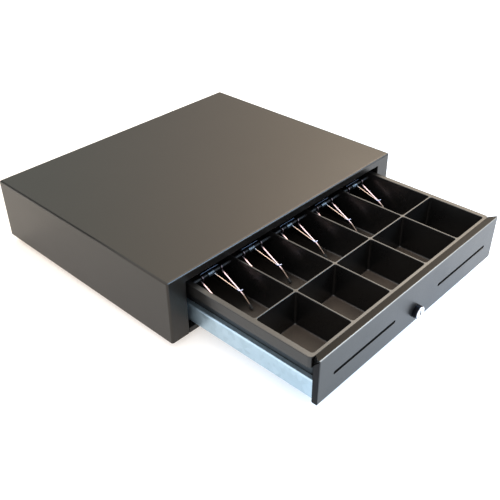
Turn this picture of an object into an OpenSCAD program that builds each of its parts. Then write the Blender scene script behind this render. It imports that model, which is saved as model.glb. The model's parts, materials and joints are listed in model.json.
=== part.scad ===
// Cash drawer: a sheet-steel casing with a sliding drawer, shown pulled out.
// Origin: centre of the four mounting holes in the underside of the base pan.
// X runs across the front, the front faces -Y and +Z is up.

/* [Casing] */
// Overall width of the casing
casing_w = 478; // [460:1:500]
// Overall depth of the casing
casing_d = 390; // [386:1:400]
// Height of the casing without its feet
casing_h = 97.5; // [96:0.5:110]
// Thickness of the sheet steel
sheet = 1.2; // [1:0.1:1.2]
// Outside radius of the bends
bend_r = 3; // [2:0.5:5]
// Height of the feet
foot_h = 11; // [8:1:16]
// Radius of a foot
foot_r = 11; // [9:1:15]
// Distance of the feet from the casing's sides
foot_inset = 42; // [30:1:60]
// Distance between the mounting holes from side to side
hole_gap_x = 240; // [200:10:300]
// Distance between the mounting holes from front to back
hole_gap_y = 210; // [160:10:240]
// Radius of a mounting hole
hole_r = 2.5; // [2:0.1:3]

/* [Front opening] */
// Width of the opening for the drawer
opening_w = 417; // [415:1:419]
// Bottom edge of the opening above the casing's bottom
opening_bottom = 8; // [7:0.5:9]
// Top edge of the opening above the casing's bottom
opening_top = 84.5; // [83:0.5:88]
// Depth of the folded lips around the opening
lip_depth = 12; // [8:1:14]

/* [Drawer] */
// How far the drawer stands out
drawer_out = 212; // [150:1:212]
// Width of the steel pan
pan_w = 400; // [396:1:402]
// Length of the steel pan
pan_l = 345; // [340:1:346]
// Top edge of the pan's sides above the casing's bottom
pan_top = 40; // [39:0.5:41]
// Underside of the pan above the casing's bottom
pan_z = 13.5; // [13:0.5:14]
// Width of the lip along the pan's sides
pan_lip = 6.4; // [6:0.1:6.5]

/* [Front panel] */
// Width of the front panel
panel_w = 407; // [404:1:413]
// Height of the front panel
panel_h = 70; // [68:0.5:72]
// Depth of the front panel's folded ends and bottom
panel_t = 9.5; // [9:0.5:10]
// How far the bottom edge leans back
panel_lean = 1; // [0.5:0.5:1.5]
// Length of a media slot
slot_l = 126; // [100:1:140]
// Height of a media slot
slot_h = 4.8; // [4.6:0.1:5]
// Distance of a slot's centre from the middle
slot_x = 113; // [105:1:118]

/* [Lock] */
// Radius of the lock's barrel
lock_r = 9.5; // [9:0.5:10]
// How far the barrel stands out of the panel
lock_out = 7; // [5:0.5:9]
// Height of the lock above the casing's bottom
lock_z = 29; // [28.5:0.5:29.5]

/* [Till] */
// Outside width of the till's rim
till_w = 406; // [400:1:407]
// Length of the till
till_l = 282; // [270:1:290]
// Top of the till above the casing's bottom
till_top = 76; // [75:0.5:78]
// Top of the compartment floors above the casing's bottom
till_floor = 24; // [23:0.5:24.5]
// Wall thickness of the till
till_wall = 2.4; // [2:0.1:3]
// Length of a coin compartment
coin_l = 87; // [80:1:90]
// Width of the three inner compartments with one divider
inner_pitch = 80; // [76:1:82]

/* [Bill hold-downs] */
// Radius of the hold-down wire
wire_r = 1.1; // [0.9:0.1:1.3]
// Distance between the two arms of a hold-down
arm_gap = 37; // [30:1:40]
// Radius of the hinge rod
rod_r = 2; // [1.5:0.1:2.2]

/* [Hidden] */
$fn = 48;
fit = 0.05;              // radial clearance of a pin that turns in its hole
gap = 0.3;               // space between moving faces
eps = 0.01;              // overshoot of a cut
half_w = casing_w / 2;
inner_x = half_w - sheet;
half_open = opening_w / 2;

// The drawer's lengths below are measured back from the casing's front plane.
panel_y = -drawer_out - 0.5;
pan_y = panel_y + panel_t;
pan_back = pan_y + pan_l;
panel_z = 10.5;
panel_top = panel_z + panel_h;
slot_z = 42.6;
pan_front_top = 38.5;
panel_bend = 1.5;
panel_lip_top = 30.5;
top_flange = 12;          // depth of the panel's sloping top
top_drop = 2.2;

till_y = pan_y + 3.5;
till_rim_front = 5;
till_back = till_y + till_l;
rim_half = till_w / 2;
rim_side = 8.5;
cavity_half = rim_half - rim_side;
draft = 5.6;             // how much narrower the till is at its floor, per side
rim_t = 2.2;
skirt_h = 16;
skirt_t = 1.6;
till_under = till_floor - till_wall;
divider_t = 2.6;
coin_front = till_y + till_rim_front;
cross_y = coin_front + coin_l;
bill_front = cross_y + till_wall;
bill_back = till_back - till_rim_front;
divider_x = [for (i = [-1.5:1:1.5]) i * inner_pitch];
// Middle of each compartment, from left to right
outer_mid = (cavity_half + 1.5 * inner_pitch + divider_t / 2) / 2;
centre_x = [-outer_mid, -inner_pitch, 0, inner_pitch, outer_mid];

// Hinge rod and the side view of a hold-down's arm, as [back, up]
rod_y = 8;
rod_z = 67.5;
knee = [-33, 42];
toe = [-48.5, 27.5];
eye_r = 3.5;
eye_w = 3.2;
cap_r = 2.1;
cap_l = 7;
spring_wire = 0.75;
spring_r = 3.4;
spring_turns = 7;

// Rollers and rails
front_roller_r = 5;
front_roller_y = 20;
front_roller_x = 186;
front_roller_z = pan_z - gap - front_roller_r;
roller_pin_r = 1.5;
rear_roller_r = 8;
rear_roller_y = pan_back - 14;
rear_roller_z = 32;
rear_roller_w = 6;
axle_r = 1.8;
rail_low = rear_roller_z - rear_roller_r - gap - sheet;
rail_high = rear_roller_z + rear_roller_r + 1.3;
rail_web = 213;
rail_inner = 201.6;
rail_front = 14;
rail_back = 384;

// Lock core
cam_t = 2;
cam_l = 19.5;
cam_y = panel_y + 25;
recess_back = cam_y + cam_t + 3;

// Latch at the back of the casing, measured with the drawer shut
latch_y = 374;
latch_z = 39;
latch_pin_r = 2;
striker_z = 30;
bracket_x = 17;
bracket_y = 357;
shelf_z = 50;
solenoid_y = 370;
solenoid_half = 12;
solenoid_top = 81;
plunger_r = 4;
switch_x = bracket_x + sheet + 3.2;
switch_z = 29;
button_r = 1.5;
small_coil_r = 3.1;
small_wire = 0.6;

// Ejector arm
eject_x = 100;
eject_y = 376;
eject_z = 32;
eject_l = 45;
eject_open = 56;
eject_pin_r = 2;
eject_half = 12;

// Interface jack and lock keeper
jack_x = -150;
jack_z = 45;
jack_y = 372;
keeper_half = 14;

// ---------- helpers ----------

// Moves from the middle of the casing's front bottom edge to the model's own origin
module from_front() {
    translate([0, -casing_d / 2, 0]) children();
}

module block(low, high) {
    translate(low) cube(high - low);
}

// Cylinder along X, from x0 to x1 at [y, z]
module rod_x(x0, x1, y, z, r) {
    translate([x0, y, z]) rotate([0, 90, 0]) cylinder(r = r, h = x1 - x0);
}

// Cylinder along Y, from y0 to y1 at [x, z]
module rod_y(y0, y1, x, z, r) {
    translate([x, y0, z]) rotate([-90, 0, 0]) cylinder(r = r, h = y1 - y0);
}

// Round bar between two points
module bar(a, b, r) {
    d = b - a;
    translate(a)
        rotate([0, atan2(norm([d.x, d.y]), d.z), atan2(d.y, d.x)])
            cylinder(r = r, h = norm(d));
}

// Outline that lies in the Y-Z plane, thickened along X from x0 to x1
module side_plate(x0, x1) {
    translate([x0, 0, 0]) rotate([90, 0, 90]) linear_extrude(x1 - x0) children();
}

// Outline in the X-Z plane, run along Y from y0 to y1
module run_y(y0, y1) {
    translate([0, y1, 0]) rotate([90, 0, 0]) linear_extrude(y1 - y0) children();
}

// Closely wound spring around the X axis
module coil_x(turns, r, wire) {
    rotate([0, 90, 0])
        rotate_extrude()
            for (i = [0:turns - 1])
                translate([r, (i + 0.5) * wire * 1.8]) circle(r = wire, $fn = 24);
}

// ---------- casing ----------

// Section of the casing: flat bottom, rounded top corners
module casing_section(w, h, r) {
    translate([-w / 2, 0]) square([w, h - r]);
    translate([-w / 2 + r, 0]) square([w - 2 * r, h]);
    for (s = [-1, 1])
        translate([s * (w / 2 - r), h - r]) circle(r = r);
}

module casing_cover() {
    color([0.14, 0.14, 0.13]) from_front() {
        difference() {
            run_y(0, casing_d - sheet) casing_section(casing_w, casing_h, bend_r);
            translate([0, 0, -eps])
                run_y(sheet, casing_d)
                    casing_section(casing_w - 2 * sheet, casing_h - sheet + eps, bend_r - sheet);
            block([-half_open, -1, -1], [half_open, sheet + 1, opening_top]);
        }
        // lips folded inwards around the opening
        for (s = [-1, 1])
            translate([s * (half_open + sheet / 2) - sheet / 2, sheet, sheet])
                cube([sheet, lip_depth, opening_top]);
        block([-half_open, sheet, opening_top], [half_open, lip_depth, opening_top + sheet]);
    }
}

module base_pan() {
    side_h = 14;
    color([0.13, 0.13, 0.13]) from_front() {
        difference() {
            block([-inner_x, sheet, 0], [inner_x, casing_d - sheet, sheet]);
            for (sx = [-1, 1], sy = [-1, 1])
                translate([sx * hole_gap_x / 2, casing_d / 2 + sy * hole_gap_y / 2, -1])
                    cylinder(r = hole_r, h = 3);
        }
        block([-half_open, 0, 0], [half_open, sheet, sheet]);
        // front rail under the drawer
        block([-half_open, 0, sheet], [half_open, sheet, opening_bottom]);
        block([-half_open, sheet, opening_bottom - sheet],
              [half_open, lip_depth, opening_bottom]);
        // upturned sides
        for (s = [-1, 1])
            translate([s * (inner_x - sheet / 2) - sheet / 2, 2 * sheet + lip_depth, sheet])
                cube([sheet, casing_d - 3 * sheet - lip_depth, side_h]);
    }
}

module back_panel() {
    color([0.14, 0.14, 0.13]) from_front()
        difference() {
            run_y(casing_d - sheet, casing_d) casing_section(casing_w, casing_h, bend_r);
            // window for the interface jack
            block([jack_x - 6, casing_d - 2, jack_z - 6], [jack_x + 6, casing_d + 1, jack_z + 6]);
            // vents beside the latch
            for (i = [0:5])
                block([70 + i * 12, casing_d - 2, 55], [74 + i * 12, casing_d + 1, 75]);
        }
}

module rubber_feet() {
    color([0.06, 0.06, 0.06])
        for (sx = [-1, 1], sy = [-1, 1])
            translate([sx * (half_w - foot_inset), sy * (casing_d / 2 - foot_inset), -foot_h])
                cylinder(r1 = foot_r - 1.5, r2 = foot_r, h = foot_h);
}

module back_panel_screws() {
    head_r = 3;
    head_h = 1.8;
    color([0.2, 0.2, 0.2]) from_front()
        for (x = [-200, -70, 30, 200], z = [10, 88])
            difference() {
                rod_y(casing_d, casing_d + head_h, x, z, head_r);
                translate([x, casing_d + head_h, z])
                    cube([2 * head_r - 1.5, 1.2, 0.8], center = true);
            }
}

// Channel that a rear roller runs in, drawn for the left side
module rail(side) {
    stop_y = rear_roller_y - rear_roller_r - 0.8;
    color([0.72, 0.75, 0.77]) from_front() scale([side, 1, 1]) {
        run_y(rail_front, rail_back) {
            translate([-rail_web, rail_low]) square([rail_web - rail_inner, sheet]);
            translate([-rail_web, rail_high]) square([rail_web - rail_inner, sheet]);
            translate([-rail_web, rail_low]) square([sheet, rail_high - rail_low + sheet]);
            translate([-inner_x, rail_low]) square([inner_x - rail_web, sheet]);
            translate([-inner_x, rail_low]) square([sheet, rail_high - rail_low]);
        }
        // stop that holds the drawer when it is fully out
        block([-rail_web, stop_y - sheet, rail_low], [-rail_inner, stop_y, rail_high]);
    }
}

module rail_left() {
    rail(1);
}

module rail_right() {
    mirror([1, 0, 0]) rail(1);
}

// Roller bearing with a bore for its axle
module roller_x(x, y, z, r, w, bore) {
    difference() {
        union() {
            rod_x(x - w / 2 + 0.6, x + w / 2 - 0.6, y, z, r);
            rod_x(x - w / 2, x + w / 2, y, z, r - 0.8);
        }
        rod_x(x - w, x + w, y, z, bore);
    }
}

module front_roller_brackets() {
    w = 14;
    color([0.7, 0.73, 0.75]) from_front()
        for (s = [-1, 1]) {
            x = s * front_roller_x;
            difference() {
                block([x - w / 2, front_roller_y - 6, sheet],
                      [x + w / 2, front_roller_y + 6, front_roller_z + 2.5]);
                block([x - w / 2 + sheet, front_roller_y - 7, 2 * sheet],
                      [x + w / 2 - sheet, front_roller_y + 7, front_roller_z + 5]);
                rod_x(x - w, x + w, front_roller_y, front_roller_z, roller_pin_r);
            }
            rod_x(x - w / 2 - 1, x + w / 2 + 1, front_roller_y, front_roller_z, roller_pin_r);
        }
}

module front_roller(side) {
    color([0.85, 0.84, 0.8]) from_front()
        roller_x(side * front_roller_x, front_roller_y, front_roller_z,
                 front_roller_r, 8, roller_pin_r + fit);
}

module latch_bracket() {
    low = 2 * sheet;
    back = casing_d - sheet;
    top = solenoid_top + 3;
    color([0.72, 0.75, 0.77]) from_front() {
        block([-bracket_x - sheet, bracket_y, sheet], [bracket_x + sheet, back, low]);
        for (s = [-1, 1])
            difference() {
                translate([s * (bracket_x + sheet / 2) - sheet / 2, bracket_y, low])
                    cube([sheet, back - bracket_y, top - low]);
                rod_x(s * bracket_x - 3, s * bracket_x + 3, latch_y, latch_z, latch_pin_r);
            }
        // shelf that carries the solenoid
        difference() {
            block([-bracket_x, bracket_y, shelf_z], [bracket_x, back, shelf_z + sheet]);
            translate([0, solenoid_y, shelf_z - 1]) cylinder(r = plunger_r + 1, h = sheet + 2);
        }
    }
}

module latch_pin() {
    color([0.8, 0.8, 0.82]) from_front()
        rod_x(-bracket_x - 2.5, bracket_x + 2.5, latch_y, latch_z, latch_pin_r);
}

// Lever whose tooth drops into the striker
module latch_lever() {
    tooth_y = drawer_out + pan_back + 7.8;
    color([0.78, 0.76, 0.6]) from_front()
        difference() {
            union() {
                side_plate(-3, 3)
                    polygon([
                        [tooth_y, 27.5], [tooth_y + 3.4, 27.5], [tooth_y + 3.4, 35],
                        [latch_y, 34.5], [latch_y + 7, 37], [latch_y + 7, 43],
                        [tooth_y - 2, 43], [tooth_y - 2, 30]
                    ]);
                rod_x(-5, 5, latch_y, latch_z, 4.6);
            }
            rod_x(-8, 8, latch_y, latch_z, latch_pin_r + fit);
        }
}

module latch_spring() {
    color([0.75, 0.77, 0.8]) from_front()
        translate([6.2, latch_y, latch_z]) coil_x(7, small_coil_r, small_wire);
}

// Winding held in a yoke of four plates
module solenoid_body() {
    half = 13;
    yoke = 1.4;
    low = shelf_z + sheet;
    coil_low = low + 2.8;
    coil_high = solenoid_top - 3;
    front = solenoid_y - solenoid_half;
    back = solenoid_y + solenoid_half;
    color([0.7, 0.72, 0.2]) from_front()
        difference() {
            union() {
                block([-half, front, low], [half, back, coil_low]);
                block([-half, front, coil_high], [half, back, solenoid_top]);
                translate([0, solenoid_y, coil_low])
                    cylinder(r = 11.5, h = coil_high - coil_low);
                for (s = [-1, 1])
                    translate([s * (half - yoke / 2) - yoke / 2, front, coil_low])
                        cube([yoke, back - front, coil_high - coil_low]);
            }
            translate([0, solenoid_y, low - 1])
                cylinder(r = plunger_r + fit, h = solenoid_top - low + 2);
        }
}

module solenoid_plunger() {
    low = shelf_z - 4;
    nose_h = 1.8;
    color([0.75, 0.76, 0.78]) from_front() {
        translate([0, solenoid_y, low]) cylinder(r = plunger_r, h = solenoid_top - 1 - low);
        translate([0, solenoid_y, low - nose_h]) cylinder(r = 2.2, h = nose_h);
    }
}

module drawer_switch() {
    color([0.1, 0.1, 0.1]) from_front()
        difference() {
            block([bracket_x + sheet, bracket_y + 5, switch_z - 5],
                  [bracket_x + sheet + 6.5, bracket_y + 25, switch_z + 5]);
            rod_y(bracket_y + 3, bracket_y + 9, switch_x, switch_z, button_r + fit);
        }
}

module switch_button() {
    color([0.8, 0.2, 0.15]) from_front()
        rod_y(bracket_y - 1.3, bracket_y + 7.2, switch_x, switch_z, button_r);
}

// Square socket with a notch for the plug's catch
module interface_jack() {
    inside = jack_y + 3;
    color([0.1, 0.1, 0.1]) from_front()
        difference() {
            block([jack_x - 8, jack_y, jack_z - 8], [jack_x + 8, casing_d - sheet, jack_z + 8]);
            block([jack_x - 5, inside, jack_z - 5], [jack_x + 5, casing_d, jack_z + 4]);
            block([jack_x - 2, inside, jack_z - 6.5], [jack_x + 2, casing_d, jack_z - 4]);
        }
}

// Hook plate that the lock's cam drops behind
module lock_keeper() {
    y = cam_y + drawer_out - 3;
    color([0.72, 0.75, 0.77]) from_front() {
        block([-keeper_half, y, sheet], [keeper_half, y + 14, 2 * sheet]);
        block([-keeper_half, y, 2 * sheet], [keeper_half, y + sheet, pan_z - 0.7]);
    }
}

module ejector_bracket() {
    left = eject_x - eject_half;
    right = eject_x + eject_half;
    back = casing_d - sheet;
    color([0.72, 0.75, 0.77]) from_front() {
        block([left, eject_y - 10, sheet], [right, back, 2 * sheet]);
        block([left, back - sheet, 2 * sheet], [right, back, eject_z + 12]);
        for (z = [eject_z - 8, eject_z + 8])
            block([left, eject_y - 6, z - sheet / 2], [right, back - sheet, z + sheet / 2]);
        translate([eject_x, eject_y, eject_z - 10]) cylinder(r = eject_pin_r, h = 20);
    }
}

// Turns the ejector's pieces to where they stand with the drawer out
module ejector_place() {
    from_front()
        translate([eject_x, eject_y, eject_z]) rotate([0, 0, eject_open]) children();
}

module ejector_arm() {
    color([0.75, 0.76, 0.78]) ejector_place()
        difference() {
            union() {
                translate([0, 0, -3]) cylinder(r = 4, h = 6);
                block([-eject_l, -1.2, -3], [-3, 1.2, 3]);
            }
            translate([0, 0, -5]) cylinder(r = eject_pin_r + fit, h = 10);
        }
}

module ejector_tip() {
    color([0.08, 0.08, 0.08]) ejector_place()
        difference() {
            translate([-eject_l, 0, -4]) cylinder(r = 4.5, h = 8);
            block([-eject_l, -1.2, -3], [0, 1.2, 3]);
        }
}

module ejector_spring() {
    color([0.75, 0.77, 0.8]) from_front()
        translate([eject_x, eject_y, eject_z + 3.3]) rotate([0, -90, 0])
            coil_x(3, small_coil_r, small_wire);
}

// ---------- drawer ----------

module drawer_pan() {
    half = pan_w / 2;
    slot_left = 6;
    slot_right = 15;
    color([0.74, 0.79, 0.84]) from_front() {
        difference() {
            block([-half, pan_y, pan_z], [half, pan_back, pan_z + sheet]);
            // slot that the lock's cam turns down through
            block([-slot_left, cam_y - 1.5, pan_z - 1],
                  [slot_right, cam_y + cam_t + 1.5, pan_z + 3]);
        }
        for (s = [-1, 1]) {
            difference() {
                translate([s * (half - sheet / 2) - sheet / 2, pan_y, pan_z + sheet])
                    cube([sheet, pan_l, pan_top - pan_z - sheet]);
                rod_x(s * half - 3, s * half + 3, rear_roller_y, rear_roller_z, axle_r);
            }
            translate([s * (half - sheet - (pan_lip - sheet) / 2) - (pan_lip - sheet) / 2,
                       pan_y, pan_top - sheet])
                cube([pan_lip - sheet, pan_l, sheet]);
        }
        inner = half - sheet;
        difference() {
            block([-inner, pan_y, pan_z + sheet], [inner, pan_y + sheet, pan_front_top]);
            rod_y(pan_y - 2, pan_y + 4, 0, lock_z, 8);
        }
        block([-inner, pan_back - sheet, pan_z + sheet], [inner, pan_back, pan_top - sheet]);
    }
}

module striker() {
    color([0.78, 0.76, 0.6]) from_front() {
        block([-12, pan_back, 22], [26, pan_back + sheet, 38]);
        difference() {
            block([-8, pan_back + sheet, striker_z], [8, pan_back + 14, striker_z + 1.6]);
            block([-4.5, pan_back + 3.5, striker_z - 1], [4.5, pan_back + 12, striker_z + 3]);
        }
    }
}

module rear_roller_axles() {
    half = pan_w / 2;
    color([0.8, 0.8, 0.82]) from_front()
        for (s = [-1, 1]) scale([s, 1, 1]) {
            rod_x(half - sheet - 2, half + rear_roller_w + 3, rear_roller_y, rear_roller_z, axle_r);
            rod_x(half - sheet - 2.2, half - sheet, rear_roller_y, rear_roller_z, axle_r + 1.4);
        }
}

module rear_roller(side) {
    color([0.85, 0.84, 0.8]) from_front()
        roller_x(side * (pan_w / 2 + 1 + rear_roller_w / 2), rear_roller_y, rear_roller_z,
                 rear_roller_r, rear_roller_w, axle_r + fit);
}

// Side view of the folded front panel, as [back, up]: a leaning face, a top that slopes
// down towards the till, a flat bottom and a short lip against the pan
module panel_outline() {
    low = panel_y + panel_lean;
    inner = pan_y - sheet;
    bend_y = panel_y + panel_bend;
    bend_z = panel_top - panel_bend;
    back = panel_y + top_flange;
    polygon([
        [low, panel_z], [pan_y, panel_z], [pan_y, panel_lip_top], [inner, panel_lip_top],
        [inner, panel_z + sheet], [low + sheet, panel_z + sheet],
        [panel_y + sheet, bend_z], [panel_y + 2 * eps, bend_z]
    ]);
    translate([bend_y, bend_z]) circle(r = panel_bend);
    polygon([
        [bend_y, panel_top - 2 * eps], [bend_y, panel_top - sheet],
        [back, panel_top - top_drop - sheet], [back, panel_top - top_drop]
    ]);
}

// Side view of a folded end, lower at the back
module panel_end_outline() {
    middle = panel_y + sheet / 2;
    polygon([
        [middle + panel_lean, panel_z], [pan_y, panel_z],
        [pan_y, panel_top - 11.5], [middle, panel_top - 3]
    ]);
}

module front_panel() {
    half = panel_w / 2;
    relief = 8;
    color([0.16, 0.17, 0.18]) from_front()
        difference() {
            union() {
                side_plate(-half, half) panel_outline();
                for (s = [-1, 1])
                    side_plate(s * (half - sheet / 2) - sheet / 2, s * (half - sheet / 2) + sheet / 2)
                        panel_end_outline();
                // seat for the lock
                rod_y(panel_y + panel_bend, pan_y, 0, lock_z, lock_r + 3);
            }
            // corners cut from the sloping top
            for (s = [-1, 1])
                translate([0, 0, panel_top - 3.6]) linear_extrude(5)
                    polygon([
                        [s * (half + 1), panel_y + 2], [s * (half + 1), pan_y + 4],
                        [s * (half - relief), pan_y + 4]
                    ]);
            for (s = [-1, 1])
                block([s * slot_x - slot_l / 2, panel_y - 1, slot_z - slot_h / 2],
                      [s * slot_x + slot_l / 2, pan_y - 2 * sheet, slot_z + slot_h / 2]);
            rod_y(panel_y - 1, pan_y + 3, 0, lock_z, 8);
        }
}

module panel_rivets() {
    color([0.7, 0.72, 0.74]) from_front()
        for (x = [-180, -90, 90, 180])
            rod_y(pan_y + sheet, pan_y + sheet + 1.2, x, 24, 3);
}

module lock_barrel() {
    front = panel_y - lock_out;
    seat = panel_y + panel_lean / 2;
    color([0.85, 0.86, 0.88]) from_front()
        difference() {
            union() {
                rod_y(front + 1, seat, 0, lock_z, lock_r);
                rod_y(front, front + 1, 0, lock_z, lock_r - 1);
                rod_y(seat, cam_y - 0.5, 0, lock_z, 7.9);
            }
            rod_y(front - 1, cam_y + 1, 0, lock_z, 6 + fit);
        }
}

module lock_nut() {
    color([0.75, 0.76, 0.78]) from_front()
        translate([0, pan_y + sheet, lock_z]) rotate([-90, 0, 0])
            difference() {
                cylinder(r = 11.5, h = 3, $fn = 6);
                translate([0, 0, -1]) cylinder(r = 7.95, h = 5, $fn = 48);
            }
}

module lock_plug() {
    front = panel_y - lock_out + 0.4;
    color([0.8, 0.81, 0.83]) from_front()
        difference() {
            rod_y(front, cam_y, 0, lock_z, 6);
            block([-0.9, front - 1, lock_z - 4], [0.9, front + 12, lock_z + 4]);
        }
}

module lock_cam() {
    color([0.75, 0.76, 0.78]) from_front()
        translate([0, cam_y, lock_z]) rotate([-90, 0, 0]) {
            cylinder(r = 6, h = cam_t);
            translate([0, -4, 0]) cube([cam_l, 8, cam_t]);
            translate([0, 0, cam_t]) cylinder(r = 3, h = 1.5, $fn = 6);
        }
}

// ---------- till ----------

// Cavity of one compartment from x0 to x1, with draft on an outer wall
module cavity(x0, x1, y0, y1) {
    low0 = x0 < -cavity_half + 1 ? draft : 0.4;
    low1 = x1 > cavity_half - 1 ? draft : 0.4;
    run_y(y0, y1)
        polygon([
            [x0 + low0, till_floor], [x1 - low1, till_floor],
            [x1, till_top + 1], [x0, till_top + 1]
        ]);
}

module till() {
    wall = till_wall;
    edges = concat([-cavity_half], divider_x, [cavity_half]);
    recess_top = lock_z + 9.5;
    color([0.08, 0.08, 0.08]) from_front() {
        difference() {
            union() {
                // tub
                run_y(coin_front - wall, bill_back + wall)
                    polygon([
                        [-cavity_half - wall + draft, till_under],
                        [cavity_half + wall - draft, till_under],
                        [cavity_half + wall, till_top], [-cavity_half - wall, till_top]
                    ]);
                // rim and skirt
                block([-rim_half, till_y, till_top - rim_t], [rim_half, till_back, till_top]);
            }
            for (i = [0:4]) {
                x0 = edges[i] + (i == 0 ? 0 : divider_t / 2);
                x1 = edges[i + 1] - (i == 4 ? 0 : divider_t / 2);
                difference() {
                    cavity(x0, x1, coin_front, cross_y);
                    // cover over the lock's rear end
                    if (i == 2)
                        block([-15, coin_front - 1, till_floor - 1],
                              [27, recess_back + wall, recess_top + wall]);
                }
                cavity(x0, x1, bill_front, bill_back);
            }
            block([-13, till_y - 1, till_under - 1], [25, recess_back, recess_top]);
            rod_x(-rim_half + skirt_t + 1, rim_half - skirt_t - 1, rod_y, rod_z, rod_r + fit);
        }
        for (s = [-1, 1])
            translate([s * (rim_half - skirt_t / 2) - skirt_t / 2, till_y, till_top - skirt_h])
                cube([skirt_t, till_l, skirt_h - rim_t]);
        inner = rim_half - skirt_t;
        block([-inner, till_y, till_top - skirt_h], [inner, till_y + skirt_t, till_top - rim_t]);
        block([-inner, till_back - skirt_t, till_top - skirt_h],
              [inner, till_back, till_top - rim_t]);
        // pads that stand on the pan
        for (x = [-170, 0, 170], y = [till_y + 40, till_back - 40])
            translate([x, y, pan_z + sheet]) cylinder(r = 6, h = till_under - pan_z - sheet);
    }
}

module hinge_rod() {
    end = rim_half - skirt_t - 1.5;
    color([0.75, 0.76, 0.78]) from_front() rod_x(-end, end, rod_y, rod_z, rod_r);
}

// Wire hold-down: two arms with eyes on the rod, joined by a bar behind it
module hold_down(n) {
    x = centre_x[n - 1];
    bar_y = rod_y + 5;
    bar_z = rod_z + 2.6;
    half = arm_gap / 2;
    front = [rod_y - 2.6, rod_z - 1];
    bend_ball = wire_r + 0.1;
    color([0.85, 0.83, 0.82]) from_front() {
        difference() {
            union() {
                for (s = [-1, 1]) {
                    ax = x + s * half;
                    rod_x(ax - eye_w / 2, ax + eye_w / 2, rod_y, rod_z, eye_r);
                    bar([ax, front.x, front.y], [ax, knee.x, knee.y], wire_r);
                    translate([ax, knee.x, knee.y]) sphere(r = bend_ball, $fn = 24);
                    bar([ax, knee.x, knee.y], [ax, toe.x, toe.y], wire_r);
                    bar([ax, rod_y + 2, rod_z + 1], [ax, bar_y, bar_z], wire_r);
                    translate([ax, bar_y, bar_z]) sphere(r = bend_ball, $fn = 24);
                }
                rod_x(x - half, x + half, bar_y, bar_z, wire_r);
            }
            rod_x(x - half - 5, x + half + 5, rod_y, rod_z, rod_r + fit);
        }
    }
}

// Torsion spring round the rod, with a leg that lies on the right arm
module hold_down_spring(n) {
    x = centre_x[n - 1];
    start = [x + 1.5, rod_y - spring_r + 0.3, rod_z - 1.5];
    over = [x + arm_gap / 2 - 2.5, knee.x + 5, knee.y + 4.6];
    end = [x + arm_gap / 2 + 2, knee.x + 3, knee.y + 5.2];
    color([0.8, 0.8, 0.82]) from_front() {
        translate([x - spring_turns * spring_wire * 0.9, rod_y, rod_z])
            coil_x(spring_turns, spring_r, spring_wire);
        bar(start, over, spring_wire);
        translate(over) sphere(r = spring_wire + 0.1, $fn = 24);
        bar(over, end, spring_wire);
    }
}

module hold_down_caps(n) {
    d = (toe - knee) / norm(toe - knee);
    a = toe - d * (cap_l - 1);
    b = toe + d;
    color([0.05, 0.05, 0.05]) from_front()
        for (s = [-1, 1]) {
            x = centre_x[n - 1] + s * arm_gap / 2;
            difference() {
                union() {
                    bar([x, a.x, a.y], [x, b.x, b.y], cap_r);
                    bar([x, toe.x, toe.y], [x, b.x + 0.7 * d.x, b.y + 0.7 * d.y], cap_r - 0.6);
                }
                bar([x, a.x - d.x, a.y - d.y], [x, toe.x + 0.1 * d.x, toe.y + 0.1 * d.y], wire_r + fit);
            }
        }
}

casing_cover();
base_pan();
back_panel();
rubber_feet();
back_panel_screws();
rail_left();
rail_right();
front_roller_brackets();
front_roller(-1);  // front_roller_left
front_roller(1);  // front_roller_right
latch_bracket();
latch_lever();
latch_pin();
latch_spring();
solenoid_body();
solenoid_plunger();
drawer_switch();
switch_button();
interface_jack();
lock_keeper();
ejector_bracket();
ejector_arm();
ejector_tip();
ejector_spring();
drawer_pan();
striker();
rear_roller_axles();
rear_roller(-1);  // rear_roller_left
rear_roller(1);  // rear_roller_right
front_panel();
panel_rivets();
lock_barrel();
lock_nut();
lock_plug();
lock_cam();
till();
hinge_rod();
hold_down(1);  // hold_down_1
hold_down(2);  // hold_down_2
hold_down(3);  // hold_down_3
hold_down(4);  // hold_down_4
hold_down(5);  // hold_down_5
hold_down_spring(1);  // hold_down_spring_1
hold_down_spring(2);  // hold_down_spring_2
hold_down_spring(3);  // hold_down_spring_3
hold_down_spring(4);  // hold_down_spring_4
hold_down_spring(5);  // hold_down_spring_5
hold_down_caps(1);  // hold_down_caps_1
hold_down_caps(2);  // hold_down_caps_2
hold_down_caps(3);  // hold_down_caps_3
hold_down_caps(4);  // hold_down_caps_4
hold_down_caps(5);  // hold_down_caps_5
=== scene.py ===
import json
import math

import bmesh
import bpy
from mathutils import Matrix, Vector


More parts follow.
